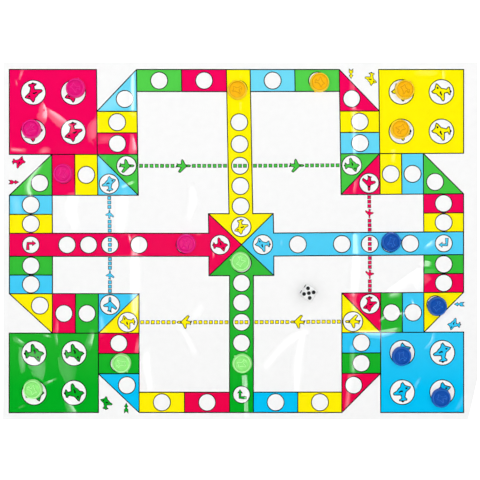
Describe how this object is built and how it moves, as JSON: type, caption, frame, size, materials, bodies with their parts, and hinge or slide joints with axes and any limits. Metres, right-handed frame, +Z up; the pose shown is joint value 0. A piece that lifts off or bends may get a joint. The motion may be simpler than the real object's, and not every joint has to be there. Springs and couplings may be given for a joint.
{
  "type": "ludo board",
  "caption": "Printed plastic film ludo board of the aeroplane kind, laid flat, with four colours of round moulded tokens and a rounded die.",
  "frame": {"origin": "middle of the film's underside, on the table", "axes": "+X along the film's long side to the right in play view, +Y to the back edge, +Z up"},
  "size_m": [0.3552, 0.267, 0.0102],
  "materials": {
    "white_film": "glossy thin film",
    "red_ink": "gloss printed ink",
    "yellow_ink": "gloss printed ink",
    "blue_ink": "gloss printed ink",
    "green_ink": "gloss printed ink",
    "black_ink": "gloss printed ink",
    "magenta_plastic": "translucent moulded plastic",
    "amber_plastic": "translucent moulded plastic",
    "navy_plastic": "translucent moulded plastic",
    "green_plastic": "translucent moulded plastic",
    "white_plastic": "polished moulded plastic",
    "black_paint": "gloss paint"
  },
  "bodies": {
    "board": {"film_sheet": "white_film", "print_red": "red_ink", "print_yellow": "yellow_ink", "print_blue": "blue_ink", "print_green": "green_ink", "print_keylines": "black_ink"},
    "token_red_1": {"token_red_1": "magenta_plastic"},
    "token_red_2": {"token_red_2": "magenta_plastic"},
    "token_red_3": {"token_red_3": "magenta_plastic"},
    "token_red_4": {"token_red_4": "magenta_plastic"},
    "token_yellow_1": {"token_yellow_1": "amber_plastic"},
    "token_yellow_2": {"token_yellow_2": "amber_plastic"},
    "token_yellow_3": {"token_yellow_3": "amber_plastic"},
    "token_yellow_4": {"token_yellow_4": "amber_plastic"},
    "token_blue_1": {"token_blue_1": "navy_plastic"},
    "token_blue_2": {"token_blue_2": "navy_plastic"},
    "token_blue_3": {"token_blue_3": "navy_plastic"},
    "token_blue_4": {"token_blue_4": "navy_plastic"},
    "token_green_1": {"token_green_1": "green_plastic"},
    "token_green_2": {"token_green_2": "green_plastic"},
    "token_green_3": {"token_green_3": "green_plastic"},
    "token_green_4": {"token_green_4": "green_plastic"},
    "die": {"die": "white_plastic", "die_pips": "black_paint"}
  },
  "joints": [
    {"name": "token_red_1_lift", "type": "slide", "parent": "board", "child": "token_red_1", "axis": [0, 0, 1], "range_m": [0, 0.05]},
    {"name": "token_red_2_lift", "type": "slide", "parent": "board", "child": "token_red_2", "axis": [0, 0, 1], "range_m": [0, 0.05]},
    {"name": "token_red_3_lift", "type": "slide", "parent": "board", "child": "token_red_3", "axis": [0, 0, 1], "range_m": [0, 0.05]},
    {"name": "token_red_4_lift", "type": "slide", "parent": "board", "child": "token_red_4", "axis": [0, 0, 1], "range_m": [0, 0.05]},
    {"name": "token_yellow_1_lift", "type": "slide", "parent": "board", "child": "token_yellow_1", "axis": [0, 0, 1], "range_m": [0, 0.05]},
    {"name": "token_yellow_2_lift", "type": "slide", "parent": "board", "child": "token_yellow_2", "axis": [0, 0, 1], "range_m": [0, 0.05]},
    {"name": "token_yellow_3_lift", "type": "slide", "parent": "board", "child": "token_yellow_3", "axis": [0, 0, 1], "range_m": [0, 0.05]},
    {"name": "token_yellow_4_lift", "type": "slide", "parent": "board", "child": "token_yellow_4", "axis": [0, 0, 1], "range_m": [0, 0.05]},
    {"name": "token_blue_1_lift", "type": "slide", "parent": "board", "child": "token_blue_1", "axis": [0, 0, 1], "range_m": [0, 0.05]},
    {"name": "token_blue_2_lift", "type": "slide", "parent": "board", "child": "token_blue_2", "axis": [0, 0, 1], "range_m": [0, 0.05]},
    {"name": "token_blue_3_lift", "type": "slide", "parent": "board", "child": "token_blue_3", "axis": [0, 0, 1], "range_m": [0, 0.05]},
    {"name": "token_blue_4_lift", "type": "slide", "parent": "board", "child": "token_blue_4", "axis": [0, 0, 1], "range_m": [0, 0.05]},
    {"name": "token_green_1_lift", "type": "slide", "parent": "board", "child": "token_green_1", "axis": [0, 0, 1], "range_m": [0, 0.05]},
    {"name": "token_green_2_lift", "type": "slide", "parent": "board", "child": "token_green_2", "axis": [0, 0, 1], "range_m": [0, 0.05]},
    {"name": "token_green_3_lift", "type": "slide", "parent": "board", "child": "token_green_3", "axis": [0, 0, 1], "range_m": [0, 0.05]},
    {"name": "token_green_4_lift", "type": "slide", "parent": "board", "child": "token_green_4", "axis": [0, 0, 1], "range_m": [0, 0.05]},
    {"name": "die_lift", "type": "slide", "parent": "board", "child": "die", "axis": [0, 0, 1], "range_m": [0, 0.05]}
  ]
}
